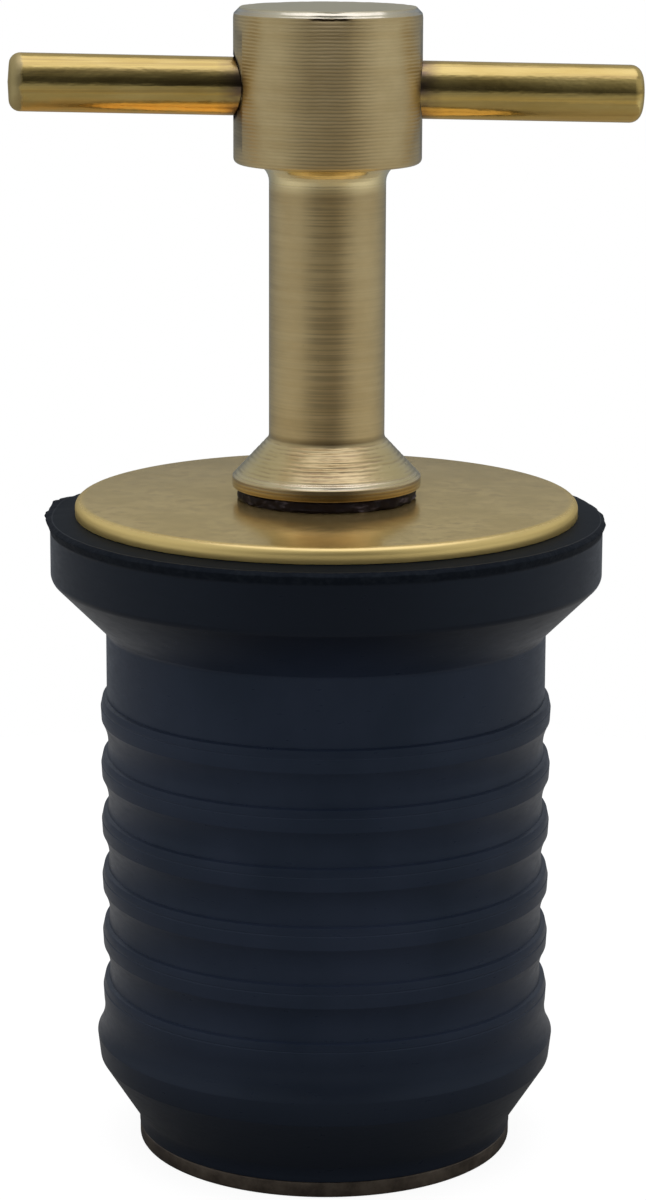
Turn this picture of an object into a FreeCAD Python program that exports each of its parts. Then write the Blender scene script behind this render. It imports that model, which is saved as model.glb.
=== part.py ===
"""Twist-tight drain plug: a ribbed rubber stopper squeezed between two plates by a T handle.

Millimetres, +Z up.  The origin is on the plug's axis, at the underside of the bottom plate.
The plug is drawn slack: the handle is backed off and the rubber has its moulded length.
"""
import FreeCAD, Part
import math
import os

V = FreeCAD.Vector

# Drain tube that the stopper fits, and the ribs' room in it when slack
TUBE_BORE = 25.4
RIB_ROOM = 0.24

# Screw: the stud's outside diameter
STUD_D = 4.0
THREAD_ROOM = 0.05
SLIDE_ROOM = 0.10
SEAT_ROOM = 0.02
STUD_TIP_CHAMFER = 0.5

# Travel of the top plate when the handle is screwed down tight
CLAMP_TRAVEL = 3.5

# Bottom plate, with the stud's end swaged into its countersink
BOTTOM_PLATE_R = 10.45
BOTTOM_PLATE_THICK = 0.9
BOTTOM_PLATE_EDGE = 0.2
SWAGE_R = 3.2
SWAGE_DEPTH = 0.6

# Rubber stopper: stub, lead-in cone and the moulding's lip at the foot
STOPPER_LENGTH = 34.95
STUB_R = 10.47
STUB_HEIGHT = 0.65
STUB_HOLLOW = 1.4
LEAD_IN_HEIGHT = 4.05
LIP_DRAFT = 0.15
LIP_STAND = 0.34
LIP_HEIGHT = 1.3
LIP_HOLLOW = 0.06

# Rubber stopper: the sealing ribs
RIB_COUNT = 6
RIB_PITCH = 3.226
RIB_LAND = 0.8
RIB_DEPTH = 0.39
RIB_LEAN = 0.04
SHOULDER_RUN = 0.4
SHOULDER_DROP = 0.11
LEDGE_RUN = 0.07
LEDGE_LIFT = 0.05
FIRST_RIB_HEIGHT = 7.72

# Rubber stopper: flange cone and flange
CONE_ANGLE = 45.0
CONE_ROOT_ROUND = 0.4
FLANGE_R = 15.12
FLANGE_HEIGHT = 3.25
FLANGE_ROUND = 0.5
FLANGE_LIP = 0.17
FLANGE_LIP_HEIGHT = 0.6
FLANGE_LIP_RISE = 0.4
FLANGE_LIP_EDGE = 0.05
TOP_SLOPE = 0.2

# Top plate
TOP_PLATE_R = 13.75
TOP_PLATE_THICK = 0.8
TOP_PLATE_ROUND = 0.3
TOP_PLATE_UNDER_EDGE = 0.1

# Thrust washer between the plate and the handle's foot
WASHER_R = 4.85
WASHER_THICK = 0.65
WASHER_EDGE = 0.12

# Handle post: foot, flare, shank and hub
FOOT_R = 5.15
FOOT_RIM = 0.6
FOOT_EDGE = 0.12
FLARE_HEIGHT = 2.15
POST_R = 3.15
POST_LENGTH = 17.6
HUB_R = 5.06
HUB_HEIGHT = 8.3
HUB_TOP_CHAMFER = 0.33
HUB_UNDER_EDGE = 0.12
THREAD_START = 8.7
BORE_SPARE = 3.5
DRILL_POINT_ANGLE = 118.0

# Cross bar, drilled a little out of square as on the real one
BAR_D = 3.1
BAR_LENGTH = 34.1
BAR_END_ROUND = 0.6
BAR_END_CROWN = 0.1
BAR_DROP = 4.3
BAR_LEAN = 1.4
BAR_ROOM = 0.03

# Sizes that follow from the ones above
STUD_R = STUD_D / 2.0
RIB_R = TUBE_BORE / 2.0 - RIB_ROOM
VALLEY_R = RIB_R - RIB_DEPTH
STOPPER_FOOT_Z = BOTTOM_PLATE_THICK
STOPPER_TOP_Z = STOPPER_FOOT_Z + STOPPER_LENGTH
PLATE_TOP_Z = STOPPER_TOP_Z + TOP_PLATE_THICK
FOOT_Z = PLATE_TOP_Z + WASHER_THICK
HUB_Z = FOOT_Z + POST_LENGTH
HUB_TOP_Z = HUB_Z + HUB_HEIGHT
BAR_Z = HUB_TOP_Z - BAR_DROP
STUD_TOP_Z = FOOT_Z + THREAD_START


class Section:
    """Half section in the radius and height plane, turned about the Z axis to make a solid."""

    def __init__(self):
        self.points = []
        self.rounds = []
        self.bends = {}

    def to(self, radius, height, rounding=0.0):
        """Go straight to a corner, which may be rounded."""
        self.points.append(V(radius, 0, height))
        self.rounds.append(rounding)

    def bend(self, through_radius, through_height, radius, height):
        """Go to a sharp corner on an arc through a middle point."""
        self.bends[len(self.points)] = V(through_radius, 0, through_height)
        self.to(radius, height)

    def round_corner(self, index):
        """Start, middle and end of the arc that rounds one corner, or three times the corner."""
        corner = self.points[index]
        if self.rounds[index] == 0.0:
            return corner, corner, corner
        back = self.points[index - 1] - corner
        ahead = self.points[(index + 1) % len(self.points)] - corner
        half_angle = back.getAngle(ahead) / 2.0
        room = 0.48 * min(back.Length, ahead.Length)
        reach = min(self.rounds[index] / math.tan(half_angle), room)
        radius = reach * math.tan(half_angle)
        back.normalize()
        ahead.normalize()
        inward = back + ahead
        inward.normalize()
        to_arc = radius / math.sin(half_angle) - radius
        return corner + back * reach, corner + inward * to_arc, corner + ahead * reach

    def solid(self):
        """Close the section and turn it through a full circle."""
        corners = [self.round_corner(index) for index in range(len(self.points))]
        edges = []
        for index, (start, middle, end) in enumerate(corners):
            leave = corners[index - 1][2]
            if index in self.bends:
                edges.append(Part.Arc(leave, self.bends[index], start).toShape())
            elif leave.distanceToPoint(start) > 1e-6:
                edges.append(Part.makeLine(leave, start))
            if start.distanceToPoint(end) > 1e-6:
                edges.append(Part.Arc(start, middle, end).toShape())
        face = Part.Face(Part.Wire(edges))
        turned = face.revolve(V(0, 0, 0), V(0, 0, 1), 360)
        if turned.Volume < 0:
            turned.reverse()
        return turned


def bottom_plate():
    """Washer under the rubber, countersunk from below for the stud's swaged end."""
    hole_r = STUD_R + SEAT_ROOM
    ring = Section()
    ring.to(SWAGE_R + SEAT_ROOM, 0)
    ring.to(BOTTOM_PLATE_R, 0, BOTTOM_PLATE_EDGE)
    ring.to(BOTTOM_PLATE_R, BOTTOM_PLATE_THICK, BOTTOM_PLATE_EDGE / 2.0)
    ring.to(hole_r, BOTTOM_PLATE_THICK)
    ring.to(hole_r, SWAGE_DEPTH)
    return ring.solid()


def stud():
    """Threaded stud, drawn at its outside diameter, with a swaged lower end."""
    rod = Section()
    rod.to(0, 0)
    rod.to(SWAGE_R, 0)
    rod.to(STUD_R, SWAGE_DEPTH)
    rod.to(STUD_R, STUD_TOP_Z - STUD_TIP_CHAMFER)
    rod.to(STUD_R - STUD_TIP_CHAMFER, STUD_TOP_Z)
    rod.to(0, STUD_TOP_Z)
    return rod.solid()


def stopper_foot(rubber):
    """Stub on the bottom plate, lead-in cone and the moulding's lip."""
    lead_in_z = STOPPER_FOOT_Z + LEAD_IN_HEIGHT
    lip_z = lead_in_z + LIP_HEIGHT
    rib_edge_z = STOPPER_FOOT_Z + FIRST_RIB_HEIGHT - RIB_LAND / 2.0
    rubber.to(STUB_R, STOPPER_FOOT_Z)
    rubber.to(STUB_R, STOPPER_FOOT_Z + STUB_HEIGHT, STUB_HOLLOW)
    rubber.to(RIB_R + LIP_STAND - LIP_DRAFT, lead_in_z, LIP_DRAFT)
    rubber.to(RIB_R + LIP_STAND, lip_z)
    rubber.bend(RIB_R - LIP_HOLLOW / 2.0, (lip_z + rib_edge_z) / 2.0, RIB_R - RIB_LEAN, rib_edge_z)


def stopper_ribs(rubber):
    """Sealing ribs, each with a sloping shoulder and a small ledge above it, and hollows between them."""
    half_land = RIB_LAND / 2.0
    for rib in range(RIB_COUNT):
        middle_z = STOPPER_FOOT_Z + FIRST_RIB_HEIGHT + rib * RIB_PITCH
        if rib > 0:
            valley_z = middle_z - RIB_PITCH / 2.0
            rubber.bend(VALLEY_R, valley_z, RIB_R - RIB_LEAN, middle_z - half_land)
        ledge_z = middle_z + half_land + SHOULDER_RUN
        rubber.to(RIB_R, middle_z + half_land)
        rubber.to(RIB_R - SHOULDER_DROP, ledge_z)
        rubber.to(VALLEY_R + LEDGE_LIFT, ledge_z + LEDGE_RUN)


def stopper_flange(rubber):
    """Plain neck, cone and flange, with a moulding lip at the rim and a sloping top."""
    neck_r = VALLEY_R + LEDGE_LIFT
    shoulder_z = STOPPER_TOP_Z - TOP_SLOPE
    flange_z = shoulder_z - FLANGE_HEIGHT
    cone_height = (FLANGE_R - neck_r) / math.tan(math.radians(CONE_ANGLE))
    lip_z = shoulder_z - FLANGE_LIP_HEIGHT
    rubber.to(neck_r, flange_z - cone_height, CONE_ROOT_ROUND)
    rubber.to(FLANGE_R, flange_z, FLANGE_ROUND)
    rubber.to(FLANGE_R, lip_z)
    rubber.to(FLANGE_R + FLANGE_LIP, lip_z + FLANGE_LIP_RISE, FLANGE_LIP_EDGE)
    rubber.to(FLANGE_R - FLANGE_LIP_EDGE, shoulder_z, FLANGE_LIP_EDGE)
    rubber.to(TOP_PLATE_R - TOP_PLATE_THICK, STOPPER_TOP_Z)


def rubber_stopper():
    """One moulding with a hole for the stud along its whole length."""
    rubber = Section()
    hole_r = STUD_R + SLIDE_ROOM
    rubber.to(hole_r, STOPPER_FOOT_Z)
    stopper_foot(rubber)
    stopper_ribs(rubber)
    stopper_flange(rubber)
    rubber.to(hole_r, STOPPER_TOP_Z)
    return rubber.solid()


def top_plate():
    """Blanked disc with a rolled upper edge."""
    disc = Section()
    hole_r = STUD_R + SLIDE_ROOM
    disc.to(hole_r, STOPPER_TOP_Z)
    disc.to(TOP_PLATE_R, STOPPER_TOP_Z, TOP_PLATE_UNDER_EDGE)
    disc.to(TOP_PLATE_R, PLATE_TOP_Z, TOP_PLATE_ROUND)
    disc.to(hole_r, PLATE_TOP_Z)
    return disc.solid()


def thrust_washer():
    """Thin washer that the handle's foot turns on."""
    washer = Section()
    hole_r = STUD_R + SLIDE_ROOM
    washer.to(hole_r, PLATE_TOP_Z)
    washer.to(WASHER_R, PLATE_TOP_Z, WASHER_EDGE)
    washer.to(WASHER_R, FOOT_Z, WASHER_EDGE)
    washer.to(hole_r, FOOT_Z)
    return washer.solid()


def lay_bar(shape):
    """Turn a shape drawn along Z so that it lies along the cross bar, centred in the hub."""
    shape.rotate(V(0, 0, 0), V(0, 1, 0), 90 + BAR_LEAN)
    shape.translate(V(0, 0, BAR_Z))
    return shape


def handle_post():
    """Turned post with a flared foot and a hub, tapped from below and cross drilled."""
    bore_r = STUD_R + THREAD_ROOM
    bore_top_z = STUD_TOP_Z + CLAMP_TRAVEL + BORE_SPARE
    point_height = bore_r / math.tan(math.radians(DRILL_POINT_ANGLE / 2.0))
    flare_z = FOOT_Z + FOOT_RIM
    post = Section()
    post.to(bore_r, FOOT_Z)
    post.to(FOOT_R, FOOT_Z, FOOT_EDGE)
    post.to(FOOT_R, flare_z, FOOT_EDGE)
    post.to(POST_R, flare_z + FLARE_HEIGHT)
    post.to(POST_R, HUB_Z)
    post.to(HUB_R, HUB_Z, HUB_UNDER_EDGE)
    post.to(HUB_R, HUB_TOP_Z - HUB_TOP_CHAMFER)
    post.to(HUB_R - HUB_TOP_CHAMFER, HUB_TOP_Z)
    post.to(0, HUB_TOP_Z)
    post.to(0, bore_top_z + point_height)
    post.to(bore_r, bore_top_z)
    hole_r = BAR_D / 2.0 + BAR_ROOM
    drill = Part.makeCylinder(hole_r, 2 * BAR_LENGTH, V(0, 0, -BAR_LENGTH))
    return post.solid().cut(lay_bar(drill))


def cross_bar():
    """Round bar with rounded, slightly crowned ends, pressed through the hub."""
    half = BAR_LENGTH / 2.0
    bar_r = BAR_D / 2.0
    rod = Section()
    rod.to(0, -half)
    rod.to(bar_r, BAR_END_CROWN - half, BAR_END_ROUND)
    rod.to(bar_r, half - BAR_END_CROWN, BAR_END_ROUND)
    rod.to(0, half)
    return lay_bar(rod.solid())


def main():
    """Make every piece and write each to its own file."""
    pieces = {
        "bottom_plate": bottom_plate(),
        "stud": stud(),
        "rubber_stopper": rubber_stopper(),
        "top_plate": top_plate(),
        "thrust_washer": thrust_washer(),
        "handle_post": handle_post(),
        "cross_bar": cross_bar(),
    }
    os.makedirs("parts", exist_ok=True)
    for name, shape in pieces.items():
        shape.exportStep("parts/" + name + ".step")
        print(name, "valid", shape.isValid(), "volume", round(shape.Volume, 2), shape.BoundBox)


main()
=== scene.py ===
import math

import bmesh
import bpy
from mathutils import Matrix, Vector, noise


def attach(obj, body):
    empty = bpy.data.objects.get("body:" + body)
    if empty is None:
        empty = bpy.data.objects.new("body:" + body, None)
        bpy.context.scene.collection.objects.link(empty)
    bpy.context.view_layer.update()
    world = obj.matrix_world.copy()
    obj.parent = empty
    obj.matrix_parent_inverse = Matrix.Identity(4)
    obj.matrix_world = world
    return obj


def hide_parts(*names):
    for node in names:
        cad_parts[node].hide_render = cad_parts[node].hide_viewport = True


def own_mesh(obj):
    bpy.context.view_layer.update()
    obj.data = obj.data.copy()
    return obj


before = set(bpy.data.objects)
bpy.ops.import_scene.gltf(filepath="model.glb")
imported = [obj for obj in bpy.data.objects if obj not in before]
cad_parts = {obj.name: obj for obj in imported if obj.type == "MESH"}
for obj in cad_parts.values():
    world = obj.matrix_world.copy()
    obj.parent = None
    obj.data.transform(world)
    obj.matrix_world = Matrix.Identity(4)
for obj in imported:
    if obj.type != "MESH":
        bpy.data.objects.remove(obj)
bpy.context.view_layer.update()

# Lengths are in millimetres until a mesh is finished
MM = 0.001
ROUND_STEPS = 192
RUBBER_STEPS = 320
ROD_STEPS = 96

# The camera sees the plug turned this far about its axis
PLUG_TURN = math.radians(6.0)

# Heights of the stack, from the bottom plate up
RUBBER_FOOT_Z = 0.9
RUBBER_TOP_Z = 35.85
PLATE_TOP_Z = 36.65
FOOT_Z = 37.3
HUB_Z = 54.9
BAR_Z = 58.9
HUB_TOP_Z = 63.2

# Foot of the rubber stopper
STUD_HOLE_R = 2.1
STUB_R = 10.47
STUB_TOP_Z = 1.55
STUB_FILLET = 1.4
LEAD_IN_TOP = (12.65, 4.95)
LIP_TOP = (12.8, 6.25)
LIP_HOLLOW = (12.43, 7.22)

# Ribs, with their rises counted from the middle of each rib
FIRST_RIB_Z = 8.62
RIB_COUNT = 6
RIB_PITCH = 3.226
RIB_R = 12.46
RIB_HALF = 0.4
RIB_EDGE_R = RIB_R - 0.04
RIB_LINE_RISE = 0.37
RIB_LINE_DEPTH = 0.045
LEDGE_RISE = 0.8
VALLEY_RISE = 1.61
VALLEY_R = 12.07
NECK_R = 12.12

# Cone, flange and trimmed rim of the rubber
CONE_ROOT_Z = 29.4
FLANGE_R = 15.12
FLANGE_Z = 32.4
RIM_R = 15.29
RIM_Z = 35.45
RIM_REACH = 0.55
RIM_LIMIT_Y = 15.27
SHOULDER_Z = 35.65
SEAT_R = 12.95

# Torn tongue of the rim, with places and widths in degrees round the axis
TEAR_AT = 167
TEAR_WIDTH = 5.5
TEAR_UP = 0.34
BULGE_AT = 174
BULGE_WIDTH = 8
BULGE_OUT = 0.21

# Bottom plate, top plate and washer
BASE_R = 10.45
SWAGE_R = 3.22
BASE_BORE_R = 2.02
BASE_SINK_Z = 0.6
PLATE_R = 13.75
WASHER_R = 4.93

# Turned post
BORE_R = 2.05
BORE_TOP_Z = 53.5
BORE_TIP_Z = 54.73
FOOT_R = 5.15
FLARE_Z = 37.9
POST_R = 3.15
POST_Z = 40.05
HUB_R = 5.06
CHAMFER = 0.33
GROOVE_COUNT = 9
GROOVE_DEPTH = 0.016
GROOVE_STEPS = ((0.15, 0.0), (0.4, 1.0), (0.65, 0.35))
FEED_SCALE = 1653.0

# Nick under the hub's chamfer, with its place and half width in degrees from the camera's side
NICK_AT = 1.3
NICK_HALF = 13
NICK_DEPTH = 0.15

# Cross bar and its hole
BAR_R = 1.55
BAR_HALF = 17.05
BAR_LEAN = math.radians(1.4)
BAR_CROWN = 0.1
BAR_ROUNDING = 0.6
HOLE_R = 1.58
MOUTH_R = 1.71
MOUTH_IN = 4.55
MOUTH_OUT = 4.75
RAGGED_FROM = 4.6
RAGGED_RING = 5.2
DRILL_HALF = 12

# Levels that the metal sees of the studio, by place from the front to the back or towards the tent's middle
FLOOR_LEVELS = [(0.0, 0.29), (0.04, 0.3), (0.12, 0.41), (0.24, 0.53), (0.42, 0.56),
                (0.62, 0.46), (0.84, 0.28), (1.0, 0.24)]
WALL_LEVELS = [(0.0, 0.06), (0.05, 0.11), (0.12, 0.26), (0.24, 0.45), (0.5, 0.5), (0.86, 0.5), (1.0, 0.385)]
TENT_LEVELS = [(0.0, 0.0), (0.35, 0.02), (0.58, 0.36), (0.72, 0.88), (0.85, 1.0), (1.0, 1.0)]
TENT_AXIS = (0.08, 0.13, 0.985)
TENT_GLOW = 1.35
STRIP_AT = 0.19
FLOOR_DISC_R = 90

# Camera at the photograph's place, in millimetres and degrees
CAMERA_ACROSS = -0.17
CAMERA_BACK = 193.72
CAMERA_HEIGHT = 74.445
CAMERA_DOWN = 12.678
CAMERA_ROLL = 0.19
CAMERA_LENS = 108.087


def arc(start, middle, end, steps):
    """Corners along the circle through three places of a half section, without the first."""
    (ax, ay), (bx, by), (cx, cy) = start, middle, end
    turn = 2 * (ax * (by - cy) + bx * (cy - ay) + cx * (ay - by))
    a2, b2, c2 = ax * ax + ay * ay, bx * bx + by * by, cx * cx + cy * cy
    centre = Vector((
        (a2 * (by - cy) + b2 * (cy - ay) + c2 * (ay - by)) / turn,
        (a2 * (cx - bx) + b2 * (ax - cx) + c2 * (bx - ax)) / turn,
    ))
    first, last = Vector(start) - centre, Vector(end) - centre
    swept = first.angle_signed(last)
    corners = []
    for step in range(1, steps + 1):
        spoke = first.copy()
        spoke.rotate(Matrix.Rotation(-swept * step / steps, 2))
        place = centre + spoke
        corners.append((place.x, place.y, 0, 0))
    return corners


def turned(corners, steps=ROUND_STEPS):
    """Close a half section of (radius, height, rounding, steps) corners and turn it about Z."""
    mesh = bmesh.new()
    verts = [mesh.verts.new((radius, 0, height)) for radius, height, _, _ in corners]
    for here, there in zip(verts, verts[1:] + verts[:1]):
        mesh.edges.new((here, there))
    for corner, (_, _, rounding, rounds) in zip(verts, corners):
        if rounding:
            sides = [edge.other_vert(corner).co - corner.co for edge in corner.link_edges]
            reach = rounding / math.tan(sides[0].angle(sides[1]) / 2)
            bmesh.ops.bevel(mesh, geom=[corner], offset=reach, offset_type="OFFSET",
                            segments=rounds, profile=0.5, affect="VERTICES", material=-1)
    bmesh.ops.spin(mesh, geom=mesh.verts[:] + mesh.edges[:], cent=(0, 0, 0), axis=(0, 0, 1),
                   angle=2 * math.pi, steps=steps, use_merge=True)
    bmesh.ops.remove_doubles(mesh, verts=mesh.verts, dist=1e-5)
    bmesh.ops.dissolve_degenerate(mesh, edges=mesh.edges, dist=1e-6)
    bmesh.ops.recalc_face_normals(mesh, faces=mesh.faces)
    return mesh


def finished(mesh, name, material, crease=32):
    """Make the piece in metres, smooth but for edges sharper than the crease in degrees."""
    bmesh.ops.scale(mesh, vec=(MM, MM, MM), verts=mesh.verts)
    data = bpy.data.meshes.new(name)
    mesh.to_mesh(data)
    mesh.free()
    data.shade_smooth()
    data.set_sharp_from_angle(angle=math.radians(crease))
    data.materials.append(material)
    piece = bpy.data.objects.new(name, data)
    bpy.context.scene.collection.objects.link(piece)
    return piece


def outward(place):
    """Level direction from the axis through a place."""
    return place.to_2d().to_3d() / max(place.to_2d().length, 0.1)


def finish_of(name):
    """New material with its node tree and shader."""
    material = bpy.data.materials.new(name)
    material.use_nodes = True
    tree = material.node_tree
    return material, tree, tree.nodes["Principled BSDF"]


def add(tree, kind, inputs=None, **settings):
    """Add a node, set its options and set or join its inputs."""
    node = tree.nodes.new(kind)
    for option, value in settings.items():
        setattr(node, option, value)
    for socket, value in (inputs or {}).items():
        if isinstance(value, bpy.types.NodeSocket):
            tree.links.new(value, node.inputs[socket])
        else:
            node.inputs[socket].default_value = value
    return node


def maths(tree, operation, first, second=0.0):
    """Result of one sum on two numbers."""
    return add(tree, "ShaderNodeMath", {0: first, 1: second}, operation=operation).outputs[0]


def carried(tree, operation, values):
    """One sum carried on through several numbers."""
    result = values[0]
    for value in values[1:]:
        result = maths(tree, operation, result, value)
    return result


def product(tree, *values):
    """All the numbers multiplied."""
    return carried(tree, "MULTIPLY", values)


def total(tree, *values):
    """All the numbers added."""
    return carried(tree, "ADD", values)


def largest(tree, *values):
    """The largest of the numbers."""
    return carried(tree, "MAXIMUM", values)


def ramp(tree, value, low, high, out_low, out_high):
    """Value taken from one range to another and held at its ends."""
    return add(tree, "ShaderNodeMapRange", {
        "Value": value, "From Min": low, "From Max": high, "To Min": out_low, "To Max": out_high,
    }).outputs[0]


def within(tree, mask, outside, inside):
    """One level outside a mask and another inside it."""
    return ramp(tree, mask, 0.0, 1.0, outside, inside)


def faded(tree, length, low, high, near, far):
    """Level that changes between two lengths in millimetres."""
    return ramp(tree, length, low * MM, high * MM, near, far)


def rising(tree, length, low, high):
    """Mask that is one past the second of two lengths in millimetres."""
    return faded(tree, length, low, high, 0.0, 1.0)


def falling(tree, length, low, high):
    """Mask that is one short of the first of two lengths in millimetres."""
    return faded(tree, length, low, high, 1.0, 0.0)


def band(tree, length, start, full, fading, end):
    """Mask that rises between the first two of four lengths in millimetres and falls between the others."""
    return product(tree, rising(tree, length, start, full), falling(tree, length, fading, end))


def levels(tree, value, stops):
    """Curve through (place, level) stops."""
    curve = add(tree, "ShaderNodeValToRGB", {0: value})
    for place, level in stops[1:-1]:
        curve.color_ramp.elements.new(place).color = (level, level, level, 1)
    curve.color_ramp.elements[0].color = (stops[0][1],) * 3 + (1,)
    curve.color_ramp.elements[-1].color = (stops[-1][1],) * 3 + (1,)
    return curve.outputs[0]


def blend(tree, fac, dark, light, blend_type="MIX"):
    """Colour between two colours or two colour sockets, by a factor."""
    mix = add(tree, "ShaderNodeMix", {0: fac}, data_type="RGBA", blend_type=blend_type)
    for socket, colour in ((6, dark), (7, light)):
        if isinstance(colour, bpy.types.NodeSocket):
            tree.links.new(colour, mix.inputs[socket])
        else:
            mix.inputs[socket].default_value = (*colour, 1)
    return mix.outputs[2]


def between(tree, fac, first, second):
    """Number between two numbers, by a factor."""
    return add(tree, "ShaderNodeMix", {0: fac, 2: first, 3: second}, data_type="FLOAT").outputs[0]


def place_on(tree):
    """Object coordinates of the piece, in metres."""
    return add(tree, "ShaderNodeTexCoord").outputs["Object"]


def as_seen(tree, place):
    """Place or direction turned about the axis, so that Y points away from the camera."""
    return add(tree, "ShaderNodeMapping", {"Vector": place, "Rotation": (0, 0, PLUG_TURN)}).outputs[0]


def split(tree, place):
    """Outputs X, Y and Z of a place."""
    return add(tree, "ShaderNodeSeparateXYZ", {0: place}).outputs


def height_of(tree):
    """Height of the surface above the table, in metres."""
    return split(tree, place_on(tree))["Z"]


def from_line(tree, place, across):
    """Distance from the line through the origin, measured in the two directions across it."""
    flat = add(tree, "ShaderNodeVectorMath", {0: place, 1: across}, operation="MULTIPLY")
    return add(tree, "ShaderNodeVectorMath", {0: flat.outputs[0]}, operation="LENGTH").outputs["Value"]


def from_axis(tree):
    """Distance of the surface from the plug's axis, in metres."""
    return from_line(tree, place_on(tree), (1, 1, 0))


def clouds(tree, scale, detail=4.0, roughness=0.6):
    """Noise over the piece, with a scale for each axis."""
    stretched = add(tree, "ShaderNodeMapping", {"Vector": place_on(tree), "Scale": scale}).outputs[0]
    return add(tree, "ShaderNodeTexNoise", {
        "Vector": stretched, "Scale": 1.0, "Detail": detail, "Roughness": roughness}).outputs[0]


def specks(tree, scale, small, large):
    """One inside round specks that are scattered over the piece, and zero between them."""
    cells = add(tree, "ShaderNodeTexVoronoi", {"Vector": place_on(tree), "Scale": scale}, feature="F1")
    return ramp(tree, cells.outputs["Distance"], small, large, 1.0, 0.0)


def uneven(tree, shader, height, strength, distance):
    """Give the shader a bump of at most the distance in millimetres."""
    bump = add(tree, "ShaderNodeBump", {"Height": height, "Strength": strength, "Distance": distance * MM})
    tree.links.new(bump.outputs[0], shader.inputs["Normal"])


def lathe_feed(tree):
    """Fine rings that the lathe's feed leaves, from zero in their bottoms to one."""
    return add(tree, "ShaderNodeTexWave", {
        "Vector": place_on(tree), "Scale": FEED_SCALE, "Distortion": 1.6, "Detail": 2.0,
        "Detail Scale": 0.5, "Detail Roughness": 0.6},
        wave_type="BANDS", bands_direction="Z", wave_profile="SIN").outputs["Fac"]


def round_the_post(tree):
    """Direction of the turning lines, round the plug's axis."""
    across = add(tree, "ShaderNodeVectorMath", {0: (0, 0, 1), 1: place_on(tree)}, operation="CROSS_PRODUCT")
    return add(tree, "ShaderNodeVectorTransform", {0: across.outputs[0]},
               vector_type="VECTOR", convert_from="OBJECT", convert_to="WORLD").outputs[0]


def post_zones(tree, height):
    """Masks of the post's stretches, from the foot's rim up to the hub's top."""
    hub = rising(tree, height, HUB_Z - 0.2, HUB_Z + 0.2)
    shank = rising(tree, height, POST_Z - 0.2, POST_Z + 0.15)
    past_rim = rising(tree, height, FLARE_Z, FLARE_Z + 0.1)
    past_shank = rising(tree, height, HUB_Z - 1.5, HUB_Z - 0.9)
    return {
        "foot_rim": within(tree, past_rim, 1.0, 0.0),
        "flare": product(tree, past_rim, within(tree, shank, 1.0, 0.0)),
        "flare_edge": band(tree, height, FLARE_Z + 0.04, FLARE_Z + 0.1, FLARE_Z + 0.25, FLARE_Z + 0.4),
        "crease": band(tree, height, POST_Z - 0.15, POST_Z + 0.05, POST_Z + 0.1, POST_Z + 0.35),
        "shank": shank,
        "neck": product(tree, past_shank, within(tree, hub, 1.0, 0.0)),
        "hub": hub,
        "edge": rising(tree, height, HUB_TOP_Z - 0.38, HUB_TOP_Z - 0.32),
        "top": rising(tree, height, HUB_TOP_Z - 0.08, HUB_TOP_Z - 0.02),
    }


def seen_front(tree):
    """Distance to the side of the post's seen front, and a mask of the half that is seen."""
    facing = split(tree, as_seen(tree, place_on(tree)))
    aside = maths(tree, "ABSOLUTE", maths(tree, "ADD", facing["X"], -0.1 * MM))
    return aside, maths(tree, "LESS_THAN", facing["Y"], 0.0)


def bar_mouth_shade(tree, ragged):
    """Ragged ring of painted shade round the mouths of the bar's hole."""
    bar_side = add(tree, "ShaderNodeMapping", {
        "Vector": place_on(tree), "Location": (0.0, 0.0, -BAR_Z * MM * math.cos(BAR_LEAN)),
        "Rotation": (0.0, -BAR_LEAN, 0.0)}).outputs[0]
    reach = ramp(tree, ragged, 0.3, 0.7, 1.62 * MM, 1.86 * MM)
    return falling(tree, maths(tree, "SUBTRACT", from_line(tree, bar_side, (0, 1, 1)), reach), -0.04, 0.18)


def nick_shadow(tree, height, ragged, aside, seen):
    """Dark, ragged line in the nick under the hub's chamfer."""
    line = ramp(tree, ragged, 0.3, 0.7, (0.44 - HUB_TOP_Z) * MM, (0.36 - HUB_TOP_Z) * MM)
    off_line = maths(tree, "ABSOLUTE", maths(tree, "ADD", height, line))
    return product(tree, falling(tree, aside, 0.8, 1.2), seen, falling(tree, off_line, 0.03, 0.07))


def post_marks(tree):
    """Feed lines and noise that the marks on the post are made of."""
    feed = lathe_feed(tree)
    return {
        "feed": feed,
        "valley": ramp(tree, feed, 0.0, 0.6, 1.0, 0.0),
        "fine": clouds(tree, (90, 90, 9000), 3.0),
        "coarse": clouds(tree, (70, 70, 2400), 3.0),
        "stain": clouds(tree, (260, 260, 420), 5.0),
        "rip": clouds(tree, (500, 500, 1400), 3.0, 0.65),
        "ragged": clouds(tree, (1500, 1500, 1500), 4.0, 0.7),
    }


def lined_brass(tree, zone, mark, aside):
    """Stained brass with turning lines on the hub and hair lines on the shank, darker in the middle as the
    camera sees them as painted shade, and a neck painted golden as a painted reflection.
    """
    tone = ramp(tree, mark["stain"], 0.34, 0.68, 0.0, 1.0)
    brass = blend(tree, tone, (0.78, 0.59, 0.29), (0.9, 0.7, 0.36))
    lines = blend(tree, ramp(tree, mark["coarse"], 0.36, 0.6, 0.0, 1.0), (0.88, 0.85, 0.8), (1.0, 1.0, 1.0))
    streaky = blend(tree, 1.0, brass, lines, "MULTIPLY")
    # Turning lines on the hub, darker in the middle as the camera sees it: real lines with painted shade
    hub_lines_and_shade = product(tree, mark["valley"], zone["hub"], faded(tree, aside, 1.4, 2.6, 0.62, 0.1))
    ringed = blend(tree, hub_lines_and_shade, streaky, (0.4, 0.28, 0.14))
    # Hair lines on the shank, darkest in the middle as the camera sees it: real marks with painted shade
    hairs_and_shade = product(tree, ramp(tree, mark["fine"], 0.42, 0.54, 1.0, 0.0),
                    faded(tree, aside, 0.7, 1.5, 0.52, 0.08),
                    maths(tree, "SUBTRACT", zone["shank"], zone["hub"]))
    haired = blend(tree, hairs_and_shade, ringed, (0.42, 0.31, 0.16))
    # The neck is painted bright gold, a painted reflection of the plate below
    return blend(tree, zone["neck"], haired, (1.0, 0.79, 0.4))


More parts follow.
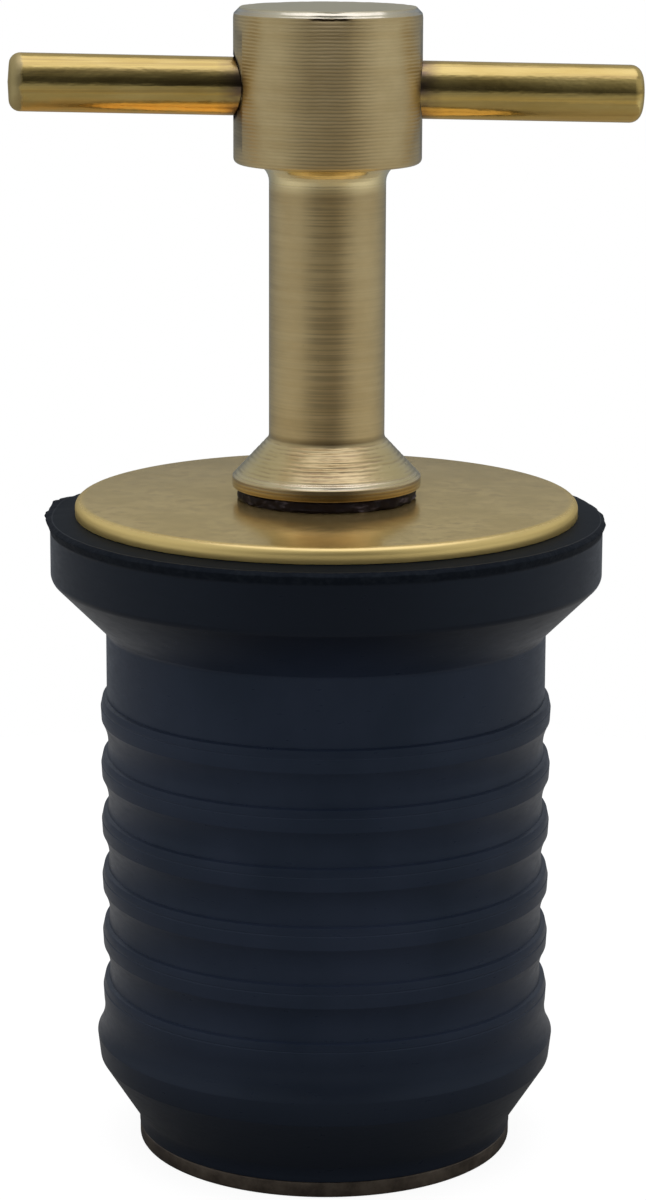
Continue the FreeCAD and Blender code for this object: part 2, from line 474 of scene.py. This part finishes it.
def footed_brass(tree, zone, mark, aside, middle, brass):
    """Brass with a flare painted yellow at its sides as a painted reflection, scoring darkest in front as
    painted shade, and painted shade in the crease at the shank and on the front of the foot's rim.
    """
    # The flare's yellow sides are a painted reflection
    side_reflection = product(tree, zone["flare"], faded(tree, aside, 1.4, 3.6, 0.0, 0.6))
    side_reflected = blend(tree, side_reflection, brass, (0.6, 0.48, 0.21))
    # Scoring on the flare, strongest in front: real scoring with painted shade
    scores_and_shade = product(tree, zone["flare"], mark["valley"], ramp(tree, mark["rip"], 0.42, 0.6, 0.0, 0.8),
                     within(tree, middle, 0.35, 1.0))
    scored_rim = product(tree, zone["foot_rim"], within(tree, mark["valley"], 0.25, 0.75))
    scored_and_shaded = blend(tree, largest(tree, scores_and_shade, scored_rim), side_reflected, (0.38, 0.24, 0.13))
    # Painted shade in the crease at the shank and on the foot's rim, in front as the camera sees it
    shaded = product(tree, largest(tree, zone["crease"], zone["foot_rim"]), middle, 0.7)
    return blend(tree, shaded, scored_and_shaded, (0.2, 0.13, 0.05))


def turned_brass():
    """Brass of the post and hub: feed lines of the lathe, light stains and pits, painted shade round the bar
    and on the camera's side, and painted highlights on the chamfer and the flare's edge.
    """
    material, tree, shader = finish_of("turned_brass")
    height = height_of(tree)
    zone = post_zones(tree, height)
    mark = post_marks(tree)
    aside, seen = seen_front(tree)
    middle = product(tree, faded(tree, aside, 1.2, 4.2, 1.0, 0.15), seen)

    footed = footed_brass(tree, zone, mark, aside, middle, lined_brass(tree, zone, mark, aside))
    # Painted highlight: a bright line along the flare's lower edge, in front as the camera sees it
    edge_highlight = product(tree, zone["flare_edge"], middle, 0.7)
    edge_highlighted = blend(tree, edge_highlight, footed, (1.0, 0.88, 0.6))
    # The chamfer is painted light in front and darker at its sides, a painted highlight
    chamfer = blend(tree, rising(tree, aside, 2.6, 4.4), (0.9, 0.79, 0.55), (0.58, 0.48, 0.32))
    chamfered = blend(tree, zone["edge"], edge_highlighted, chamfer)
    # The hub's top face is painted darker and greyer, a painted shade
    topped = blend(tree, zone["top"], chamfered, (0.6, 0.51, 0.3))

    # Painted shade round the bar's hole and in the nick under the chamfer, with real pits
    mouth_shade = product(tree, bar_mouth_shade(tree, mark["ragged"]), zone["hub"])
    pits = product(tree, specks(tree, 950.0, 0.035, 0.075), ramp(tree, mark["stain"], 0.56, 0.62, 0.0, 0.8))
    pits_and_shade = largest(tree, mouth_shade, pits, nick_shadow(tree, height, mark["ragged"], aside, seen))
    tree.links.new(blend(tree, pits_and_shade, topped, (0.045, 0.028, 0.012)), shader.inputs["Base Color"])

    turned_gloss = within(tree, zone["flare"], ramp(tree, mark["coarse"], 0.3, 0.7, 0.4, 0.52), 0.28)
    chamfer_only = maths(tree, "SUBTRACT", zone["edge"], zone["top"])
    polished = largest(tree, chamfer_only, zone["neck"], zone["foot_rim"], edge_highlight)
    gloss = within(tree, polished, turned_gloss, 0.22)
    tree.links.new(within(tree, pits_and_shade, gloss, 0.7), shader.inputs["Roughness"])

    rings = product(tree, mark["feed"], within(tree, zone["hub"], 0.4, 1.9))
    scores = product(tree, mark["feed"], zone["flare"], ramp(tree, mark["rip"], 0.35, 0.65, 0.3, 1.6))
    relief = total(tree, rings, mark["fine"], product(tree, mark["coarse"], 0.6), scores)
    uneven(tree, shader, relief, 0.6, 0.014)

    tree.links.new(round_the_post(tree), shader.inputs["Tangent"])
    brushed = product(tree, within(tree, zone["shank"], 0.3, 0.88), within(tree, zone["top"], 1.0, 0.0))
    tree.links.new(brushed, shader.inputs["Anisotropic"])
    shader.inputs["Anisotropic Rotation"].default_value = 0.25
    shader.inputs["Metallic"].default_value = 1.0
    shader.inputs["Specular Tint"].default_value = (0.86, 0.93, 1.0, 1.0)
    return material


def rod_brass():
    """Golden brass of the cross bar, with drawing lines, an orange painted reflection below, painted shade
    near the hub and dull, sawn ends.
    """
    material, tree, shader = finish_of("rod_brass")
    lines = clouds(tree, (60, 3200, 3200), 3.0)
    blotch = clouds(tree, (170, 620, 620), 4.0)
    waver = clouds(tree, (420, 900, 900), 3.0, 0.65)
    place = split(tree, place_on(tree))
    along = total(tree, place["X"], ramp(tree, blotch, 0.3, 0.7, -0.2 * MM, 0.2 * MM))
    over = total(tree, place["Z"], -BAR_Z * MM, product(tree, place["X"], math.tan(BAR_LEAN)))

    brass = blend(tree, ramp(tree, blotch, 0.36, 0.66, 0.0, 1.0), (0.62, 0.43, 0.125), (0.75, 0.55, 0.19))
    lined = blend(tree, ramp(tree, lines, 0.36, 0.52, 0.5, 0.0), brass, (0.42, 0.28, 0.1))
    # Orange underside, strongest on the left: a painted reflection of the brass below
    warm_reflection = product(tree, faded(tree, over, -0.6, -1.1, 0.0, 1.0), ramp(tree, waver, 0.3, 0.5, 0.15, 0.85),
                      faded(tree, along, -1.0, 1.0, 1.0, 0.3))
    warm_reflected = blend(tree, warm_reflection, lined, (0.95, 0.5, 0.1))
    # Painted shade on the bar where it enters the hub
    hub_shade = product(tree, faded(tree, maths(tree, "ABSOLUTE", along), 5.0, 6.1, 0.9, 0.0),
                        ramp(tree, waver, 0.36, 0.6, 0.25, 1.0))
    hub_shaded = blend(tree, hub_shade, warm_reflected, (0.2, 0.13, 0.09))
    end = largest(tree, faded(tree, along, 0.8 - BAR_HALF, 0.65 - BAR_HALF, 0.0, 1.0),
                  rising(tree, along, BAR_HALF - 0.35, BAR_HALF - 0.15))
    tree.links.new(blend(tree, end, hub_shaded, (0.58, 0.45, 0.2)), shader.inputs["Base Color"])

    gloss = ramp(tree, blotch, 0.3, 0.7, 0.13, 0.24)
    tree.links.new(within(tree, end, gloss, 0.5), shader.inputs["Roughness"])
    uneven(tree, shader, total(tree, product(tree, waver, 3.0), lines), 0.5, 0.02)
    shader.inputs["Metallic"].default_value = 1.0
    shader.inputs["Specular Tint"].default_value = (1.0, 0.92, 0.75, 1.0)
    return material


def plate_brass():
    """Satin brass of the top plate, with faint stains, rubbing marks and a rim painted bright gold as a
    painted highlight.
    """
    material, tree, shader = finish_of("plate_brass")
    stain = clouds(tree, (300, 300, 300), 6.0)
    scuff = clouds(tree, (1400, 2200, 1400), 4.0, 0.7)
    mottle = clouds(tree, (1300, 1300, 1300), 4.0)
    radius = from_axis(tree)
    rim = rising(tree, radius, PLATE_R - 0.55, PLATE_R - 0.03)

    satin = blend(tree, ramp(tree, stain, 0.36, 0.62, 0.0, 1.0), (0.6, 0.44, 0.186), (0.73, 0.547, 0.254))
    spots = product(tree, ramp(tree, mottle, 0.48, 0.66, 0.0, 0.5), ramp(tree, stain, 0.42, 0.6, 0.3, 1.0))
    spotted = blend(tree, spots, satin, (0.4, 0.27, 0.11))
    # The rim is painted bright gold, a painted highlight
    tree.links.new(blend(tree, rim, spotted, (0.95, 0.7, 0.26)), shader.inputs["Base Color"])

    gloss = ramp(tree, scuff, 0.35, 0.65, 0.13, 0.2)
    rubbed = faded(tree, radius, FOOT_R + 0.35, FOOT_R + 4.35, 0.22, gloss)
    tree.links.new(within(tree, rim, rubbed, 0.34), shader.inputs["Roughness"])
    uneven(tree, shader, total(tree, scuff, mottle), 0.16, 0.01)
    shader.inputs["Metallic"].default_value = 0.86
    shader.inputs["Specular Tint"].default_value = (1.0, 0.92, 0.68, 1.0)
    return material


def dull_bronze():
    """Darkened metal of the bottom plate and the stud's swaged end."""
    material, tree, shader = finish_of("dull_bronze")
    stain = clouds(tree, (700, 700, 700), 5.0, 0.65)
    rub = clouds(tree, (500, 500, 4200), 3.0)
    tone = ramp(tree, stain, 0.35, 0.68, 0.0, 1.0)
    stained = blend(tree, tone, (0.075, 0.058, 0.045), (0.18, 0.145, 0.11))
    tree.links.new(stained, shader.inputs["Base Color"])
    tree.links.new(ramp(tree, stain, 0.3, 0.7, 0.38, 0.6), shader.inputs["Roughness"])
    uneven(tree, shader, total(tree, stain, rub), 0.5, 0.03)
    shader.inputs["Metallic"].default_value = 0.85
    return material


def black_rubber():
    """Blue-black moulded rubber with a soft sheen, a few dust specks and a matt trimmed rim."""
    material, tree, shader = finish_of("black_rubber")
    patch = clouds(tree, (150, 150, 110), 4.0, 0.55)
    grain = clouds(tree, (900, 900, 3600), 4.0, 0.65)
    crumb = clouds(tree, (2600, 2600, 2600), 4.0, 0.7)
    height = height_of(tree)
    outer = rising(tree, from_axis(tree), FLANGE_R - 0.17, FLANGE_R - 0.06)
    trimmed = product(tree, outer, rising(tree, height, RIM_Z - 0.5, RIM_Z - 0.38))
    inner = within(tree, outer, 1.0, 0.0)
    ledge = product(tree, inner, rising(tree, height, SHOULDER_Z - 0.05, SHOULDER_Z - 0.02))

    # The ribbed middle is the lightest and the flange is darker; the stub is darker towards the floor as
    # painted shade
    tone = ramp(tree, patch, 0.35, 0.65, 0.0, 1.0)
    ribbed = blend(tree, tone, (0.0086, 0.013, 0.0245), (0.0132, 0.0182, 0.033))
    stubbed = blend(tree, falling(tree, height, 4.0, 9.5), ribbed, (0.0072, 0.0098, 0.0165))
    flanged = rising(tree, height, CONE_ROOT_Z + 0.1, FLANGE_Z + 0.1)
    body = blend(tree, flanged, stubbed, (0.0035, 0.0048, 0.0095))
    topped = blend(tree, ledge, body, (0.0045, 0.0068, 0.0095))
    crumbly = ramp(tree, crumb, 0.45, 0.62, 0.0, 1.0)
    torn = blend(tree, crumbly, (0.003, 0.0045, 0.008), (0.0065, 0.0085, 0.0125))
    moulded = blend(tree, trimmed, topped, torn)
    dusty = product(tree, specks(tree, 430.0, 0.03, 0.05), ramp(tree, patch, 0.6, 0.66, 0.0, 0.7))
    tree.links.new(blend(tree, dusty, moulded, (0.05, 0.055, 0.055)), shader.inputs["Base Color"])

    dry = largest(tree, ledge, trimmed)
    gloss = ramp(tree, grain, 0.3, 0.7, 0.27, 0.36)
    tree.links.new(within(tree, dry, gloss, 0.6), shader.inputs["Roughness"])
    tree.links.new(within(tree, dry, 0.2, 0.09), shader.inputs["Specular IOR Level"])
    rough = product(tree, crumb, within(tree, trimmed, 0.0, 7.0))
    uneven(tree, shader, total(tree, grain, rough), 0.35, 0.02)
    shader.inputs["Specular Tint"].default_value = (0.8, 0.93, 1.0, 1.0)
    return material


def dark_washer():
    """Dark washer between the foot and the plate, flecked with lighter patches that are painted glints."""
    material, tree, shader = finish_of("dark_washer")
    wear_and_glints = clouds(tree, (900, 900, 2600), 5.0, 0.7)
    tone = ramp(tree, wear_and_glints, 0.52, 0.72, 0.0, 1.0)
    # The lighter patches are painted glints
    glinted = blend(tree, tone, (0.011, 0.006, 0.006), (0.12, 0.095, 0.105))
    tree.links.new(glinted, shader.inputs["Base Color"])
    tree.links.new(ramp(tree, wear_and_glints, 0.3, 0.7, 0.4, 0.7), shader.inputs["Roughness"])
    uneven(tree, shader, wear_and_glints, 0.9, 0.07)
    shader.inputs["Specular IOR Level"].default_value = 0.15
    return material


def rib_corners(middle_z, last):
    """Crest, thin line, ledge and arched hollow of one rib, without the hollow above the last."""
    hollow = (NECK_R, middle_z + LEDGE_RISE + 0.07)
    corners = [
        (RIB_R, middle_z + RIB_LINE_RISE - 0.05, 0.06, 2),
        (RIB_R - RIB_LINE_DEPTH, middle_z + RIB_LINE_RISE, 0, 0),
        (RIB_R - 0.03, middle_z + RIB_LINE_RISE + 0.06, 0.06, 2),
        (RIB_R - 0.11, middle_z + LEDGE_RISE, 0.03, 2),
        (*hollow, 0, 0),
    ]
    if not last:
        next_rib = (RIB_EDGE_R, middle_z + RIB_PITCH - RIB_HALF)
        corners += arc(hollow, (VALLEY_R, middle_z + VALLEY_RISE), next_rib, 14)
    return corners


def stopper_section():
    """Half section of the rubber from its foot up to its top."""
    corners = [
        (STUD_HOLE_R, RUBBER_FOOT_Z, 0, 0),
        (STUB_R, RUBBER_FOOT_Z, 0.05, 2),
        (STUB_R, STUB_TOP_Z, STUB_FILLET, 8),
        (*LEAD_IN_TOP, 0.15, 4),
        (*LIP_TOP, 0.04, 2),
    ]
    corners += arc(LIP_TOP, LIP_HOLLOW, (RIB_EDGE_R, FIRST_RIB_Z - RIB_HALF), 9)
    for rib in range(RIB_COUNT):
        corners += rib_corners(FIRST_RIB_Z + rib * RIB_PITCH, rib == RIB_COUNT - 1)
    corners += [
        (NECK_R, CONE_ROOT_Z, 0.4, 4),
        (FLANGE_R, FLANGE_Z, 0.5, 5),
        (FLANGE_R, SHOULDER_Z - 1.0, 0, 0),
        (FLANGE_R, SHOULDER_Z - 0.85, 0, 0),
        (FLANGE_R, SHOULDER_Z - 0.6, 0, 0),
        (FLANGE_R + 0.09, SHOULDER_Z - 0.4, 0, 0),
        (RIM_R, RIM_Z, 0.05, 3),
        (FLANGE_R + 0.06, SHOULDER_Z - 0.1, 0, 0),
        (FLANGE_R - 0.05, SHOULDER_Z, 0.05, 3),
        (FLANGE_R - 0.4, SHOULDER_Z + 0.03, 0, 0),
        (SEAT_R, RUBBER_TOP_Z, 0, 0),
        (STUD_HOLE_R, RUBBER_TOP_Z, 0, 0),
    ]
    return corners


def torn_rim(mesh):
    """Ragged trim round the rim, with a torn tongue that stands up and out on one side."""
    for vert in mesh.verts:
        radius = vert.co.to_2d().length
        rim = 1.0 - (Vector((radius, vert.co.z)) - Vector((RIM_R, RIM_Z))).length / RIM_REACH
        if rim > 0:
            side = math.degrees(math.atan2(vert.co.y, vert.co.x) + PLUG_TURN)
            flap = math.exp(-((side - TEAR_AT) / TEAR_WIDTH) ** 2)
            bulge = math.exp(-((side - BULGE_AT) / BULGE_WIDTH) ** 2)
            ragged = noise.noise(vert.co * 0.9) * 0.05 + noise.noise(vert.co * 1.7) * (0.03 + 0.14 * bulge)
            vert.co += outward(vert.co) * rim * (ragged + BULGE_OUT * bulge)
            vert.co.y = max(-RIM_LIMIT_Y, min(RIM_LIMIT_Y, vert.co.y))
            vert.co.z += rim * (ragged + TEAR_UP * flap)


def rubber_stopper():
    """Ribbed stopper in one moulding, with a ragged trimmed rim that is torn on one side."""
    mesh = turned(stopper_section(), RUBBER_STEPS)
    torn_rim(mesh)
    return finished(mesh, "rubber_moulding", black_rubber(), crease=24)


def base_plate(material):
    """Metal washer under the rubber, countersunk for the stud's swaged end."""
    ring = [
        (SWAGE_R, 0, 0, 0),
        (BASE_R, 0, 0.2, 4),
        (BASE_R, RUBBER_FOOT_Z, 0.1, 3),
        (BASE_BORE_R, RUBBER_FOOT_Z, 0, 0),
        (BASE_BORE_R, BASE_SINK_Z, 0, 0),
    ]
    return finished(turned(ring), "base_plate", material)


def pressure_plate():
    """Blanked brass disc with a rolled upper edge and a slight burr under its rim."""
    disc = [
        (STUD_HOLE_R, RUBBER_TOP_Z, 0, 0),
        (PLATE_R - 0.3, RUBBER_TOP_Z, 0, 0),
        (PLATE_R, RUBBER_TOP_Z - 0.065, 0.04, 2),
        (PLATE_R, PLATE_TOP_Z, 0.42, 8),
        (STUD_HOLE_R, PLATE_TOP_Z, 0, 0),
    ]
    return finished(turned(disc), "pressure_plate", plate_brass())


def foot_washer():
    """Thin dark washer that the foot turns on, with a frayed edge."""
    ring = [
        (STUD_HOLE_R, PLATE_TOP_Z, 0, 0),
        (WASHER_R - 0.02, PLATE_TOP_Z, 0.24, 5),
        (WASHER_R, FOOT_Z, 0.14, 4),
        (STUD_HOLE_R, FOOT_Z, 0, 0),
    ]
    mesh = turned(ring)
    for vert in mesh.verts:
        if vert.co.to_2d().length > WASHER_R - 0.25:
            place = vert.co * Vector((1, 1, 2.5))
            frayed = noise.noise(place * 1.3) * 0.025 + noise.noise(place * 3.1) * 0.025 - 0.008
            vert.co += vert.co.to_2d().to_3d() * frayed
    return finished(mesh, "foot_washer", dark_washer())


def laid_along_bar(mesh):
    """Turn a mesh drawn along Z so that it lies along the cross bar."""
    bmesh.ops.rotate(mesh, verts=mesh.verts, cent=(0, 0, 0),
                     matrix=Matrix.Rotation(math.pi / 2 + BAR_LEAN, 3, "Y"))
    bmesh.ops.translate(mesh, verts=mesh.verts, vec=(0, 0, BAR_Z))
    return mesh


def flare_grooves():
    """Shallow turning grooves up the flare, from the foot to the shank."""
    foot = Vector((FOOT_R, FLARE_Z))
    run = Vector((POST_R, POST_Z)) - foot
    inward = Vector((-run.y, run.x)).normalized() * GROOVE_DEPTH
    corners = []
    for groove in range(GROOVE_COUNT):
        for share, depth in GROOVE_STEPS:
            place = foot + run * ((groove + share) / GROOVE_COUNT) + inward * depth
            corners.append((place.x, place.y, 0, 0))
    return corners


def post_section():
    """Half section of the post: bore, foot, grooved flare, shank and hub."""
    return [
        (BORE_R, FOOT_Z, 0, 0),
        (FOOT_R, FOOT_Z, 0.12, 3),
        (FOOT_R, FLARE_Z, 0.08, 3),
        *flare_grooves(),
        (POST_R, POST_Z, 0.45, 5),
        (POST_R, HUB_Z, 0.98, 8),
        (HUB_R, HUB_Z, 0.3, 5),
        (HUB_R, HUB_TOP_Z - 0.8, 0, 0),
        (HUB_R, HUB_TOP_Z - 0.55, 0, 0),
        (HUB_R, HUB_TOP_Z - CHAMFER, 0.05, 2),
        (HUB_R - CHAMFER, HUB_TOP_Z, 0.07, 3),
        (HUB_R - 0.7, HUB_TOP_Z, 0, 0),
        (0, HUB_TOP_Z, 0, 0),
        (0, BORE_TIP_Z, 0, 0),
        (BORE_R, BORE_TOP_Z, 0, 0),
    ]


def worn_edges(mesh):
    """Uneven chamfer on the hub with a nick under its front, and uneven grooves on the flare."""
    for vert in mesh.verts:
        place = vert.co.copy()
        radius = place.to_2d().length
        out = outward(place)
        if place.z > HUB_TOP_Z - 0.5 and radius > HUB_R - 0.5:
            vert.co += out * (noise.noise(place * 0.9) * 0.035 - 0.02)
            vert.co.z -= 0.03 * abs(noise.noise(place * 1.7))
        off_nick = (math.degrees(math.atan2(place.x, -place.y) + PLUG_TURN) - NICK_AT) / NICK_HALF
        under_chamfer = HUB_TOP_Z - 0.6 < place.z < HUB_TOP_Z - 0.26 and radius > HUB_R - 0.2
        if abs(off_nick) < 1 and under_chamfer:
            vert.co -= out * NICK_DEPTH * math.cos(off_nick * math.pi / 2)
        if FLARE_Z + 0.1 < place.z < POST_Z - 0.1 and radius > POST_R:
            vert.co += out * noise.noise(place * Vector((0.6, 0.6, 3.0))) * 0.012


def ragged_drill(material):
    """Drill for the cross hole, wider and ragged where it leaves the hub."""
    mouth = [(MOUTH_R, RAGGED_RING), (MOUTH_R, MOUTH_OUT), (HOLE_R, MOUTH_IN)]
    half = [(0, DRILL_HALF), (MOUTH_R, DRILL_HALF), *mouth]
    section = [(radius, -reach, 0, 0) for radius, reach in half]
    section += [(radius, reach, 0, 0) for radius, reach in reversed(half)]
    mesh = turned(section, ROD_STEPS)
    for vert in mesh.verts:
        if abs(vert.co.z) > RAGGED_FROM:
            vert.co += vert.co.to_2d().to_3d() * noise.noise(vert.co * 2.8) * 0.09
    return finished(laid_along_bar(mesh), "drill", material)


def drilled(post, drill):
    """Cut the drill out of the post, and clear the slivers that the cut leaves."""
    cut = post.modifiers.new("cross_hole", "BOOLEAN")
    cut.operation = "DIFFERENCE"
    cut.solver = "EXACT"
    cut.object = drill
    bpy.context.view_layer.update()
    data = bpy.data.meshes.new_from_object(post.evaluated_get(bpy.context.evaluated_depsgraph_get()))
    post.modifiers.clear()
    mesh = bmesh.new()
    mesh.from_mesh(data)
    bmesh.ops.triangulate(mesh, faces=[face for face in mesh.faces if len(face.verts) > 4])
    bmesh.ops.remove_doubles(mesh, verts=mesh.verts, dist=5e-6)
    bmesh.ops.dissolve_degenerate(mesh, edges=mesh.edges, dist=2e-6)
    bmesh.ops.recalc_face_normals(mesh, faces=mesh.faces)
    mesh.to_mesh(data)
    mesh.free()
    post.data = data
    bpy.data.objects.remove(drill)
    return post


def handle_post():
    """Turned post with the cross bar's hole and its ragged mouth through the hub."""
    brass = turned_brass()
    mesh = turned(post_section())
    worn_edges(mesh)
    return drilled(finished(mesh, "turned_post", brass), ragged_drill(brass))


def cross_bar():
    """Round bar with rounded, slightly crowned ends."""
    rod = [
        (0, -BAR_HALF, 0, 0),
        (BAR_R, BAR_CROWN - BAR_HALF, BAR_ROUNDING, 6),
        (BAR_R, BAR_HALF - BAR_CROWN, BAR_ROUNDING, 6),
        (0, BAR_HALF, 0, 0),
    ]
    return finished(laid_along_bar(turned(rod, ROD_STEPS)), "drawn_bar", rod_brass())


def placed(piece, body, node):
    """Ride a piece on its body in place of its solid."""
    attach(piece, body)
    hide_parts(node)


bronze = dull_bronze()
rubber = rubber_stopper()
placed(rubber, "plug_core", "rubber_stopper")
placed(base_plate(bronze), "plug_core", "bottom_plate")
placed(pressure_plate(), "clamp_plate", "top_plate")
placed(foot_washer(), "clamp_plate", "thrust_washer")
placed(handle_post(), "t_handle", "handle_post")
placed(cross_bar(), "t_handle", "cross_bar")
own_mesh(rubber)
for stud_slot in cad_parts["stud"].material_slots:
    stud_slot.material = bronze


def seen_rays(tree):
    """Camera rays, and with them the rays of gloss and glass, which see the background too."""
    path = add(tree, "ShaderNodeLightPath")
    gloss = largest(tree, path.outputs["Is Glossy Ray"], path.outputs["Is Transmission Ray"])
    return path.outputs["Is Camera Ray"], gloss


def studio_floor():
    """Pale disc under the plug that looks white and keeps its shadow."""
    mesh = bmesh.new()
    bmesh.ops.create_circle(mesh, cap_ends=True, segments=96, radius=FLOOR_DISC_R)
    material, tree, shader = finish_of("pale_floor")
    shader.inputs["Base Color"].default_value = (0.17, 0.17, 0.17, 1)
    shader.inputs["Roughness"].default_value = 1.0
    shader.inputs["Specular IOR Level"].default_value = 0.0
    shader.inputs["Emission Color"].default_value = (1, 1, 1, 1)
    camera, gloss = seen_rays(tree)
    # In gloss the floor glows less near the plug, a painted shadow
    mirrored = faded(tree, from_axis(tree), 12, 32, 0.02, 0.15)
    glow = total(tree, product(tree, camera, 0.89), product(tree, gloss, mirrored))
    tree.links.new(glow, shader.inputs["Emission Strength"])
    finished(mesh, "floor", material)


def studio_light():
    """White backdrop that the metal shows as a bright tent above, pale sides and a dim front."""
    world = bpy.data.worlds.new("studio")
    bpy.context.scene.world = world
    world.cycles.sampling_method = "NONE"
    world.use_nodes = True
    tree = world.node_tree
    way = as_seen(tree, add(tree, "ShaderNodeTexCoord").outputs["Generated"])
    ray = split(tree, way)
    up = ray["Z"]
    around = ramp(tree, ray["Y"], -1.0, 1.0, 0.0, 1.0)
    sideways = maths(tree, "ABSOLUTE", maths(tree, "ADD", ray["X"], -STRIP_AT))

    # Below the horizon lies the table, and above it the room with one dark strip at the camera's side
    below = product(tree, levels(tree, around, FLOOR_LEVELS), ramp(tree, up, 0.0, -1.0, 1.0, 1.35),
                    ramp(tree, ray["X"], -1.0, 1.0, 0.93, 1.08))
    strip = product(tree, ramp(tree, sideways, 0.12, 0.3, 0.7, 0.0),
                    ramp(tree, around, 0.17, 0.34, 1.0, 0.0))
    above = product(tree, levels(tree, around, WALL_LEVELS), maths(tree, "SUBTRACT", 1.0, strip),
                    ramp(tree, up, 0.0, 0.22, 0.35, 1.0))
    walls = between(tree, ramp(tree, up, 0.1, -0.1, 0.0, 1.0), above, below)
    overhead = add(tree, "ShaderNodeVectorMath", {0: way, 1: TENT_AXIS}, operation="DOT_PRODUCT")
    tent = levels(tree, ramp(tree, overhead.outputs["Value"], 0.6, 1.0, 0.0, 1.0), TENT_LEVELS)
    shown = largest(tree, walls, product(tree, tent, TENT_GLOW))

    # The table in front is warm, the rest is cool, and the tent is bluer
    front = product(tree, ramp(tree, up, -0.15, -0.75, 0.0, 1.0), ramp(tree, around, 0.15, 0.45, 1.0, 0.0),
                    ramp(tree, sideways, 0.3, 0.6, 1.0, 0.0))
    warm = blend(tree, front, (0.94, 1.0, 1.09), (1.0, 0.87, 0.58))
    hue = blend(tree, ramp(tree, tent, 0.2, 1.0, 0.0, 1.0), warm, (0.93, 0.98, 1.22))

    camera, gloss = seen_rays(tree)
    plain = between(tree, gloss, ramp(tree, up, -1.0, 1.0, 0.7, 1.2), shown)
    background = tree.nodes["Background"]
    tree.links.new(blend(tree, gloss, (1.0, 1.0, 1.0), hue), background.inputs["Color"])
    tree.links.new(between(tree, camera, plain, 1.0), background.inputs["Strength"])


def studio_camera():
    """Camera a little above the hub that looks down on the plug, as in the photograph."""
    lens = bpy.data.cameras.new("camera")
    lens.sensor_width = 36.0
    lens.lens = CAMERA_LENS
    lens.clip_start = 0.01
    camera = bpy.data.objects.new("camera", lens)
    turn = Matrix.Rotation(-PLUG_TURN, 4, "Z")
    down = Matrix.Rotation(math.radians(90 - CAMERA_DOWN), 4, "X")
    roll = Matrix.Rotation(math.radians(CAMERA_ROLL), 4, "Z")
    place = turn @ Vector((CAMERA_ACROSS, -CAMERA_BACK, CAMERA_HEIGHT)) * MM
    camera.matrix_world = Matrix.Translation(place) @ turn @ down @ roll
    bpy.context.scene.collection.objects.link(camera)
    bpy.context.scene.camera = camera


studio_floor()
studio_light()
studio_camera()
bpy.context.scene.view_settings.view_transform = "Standard"
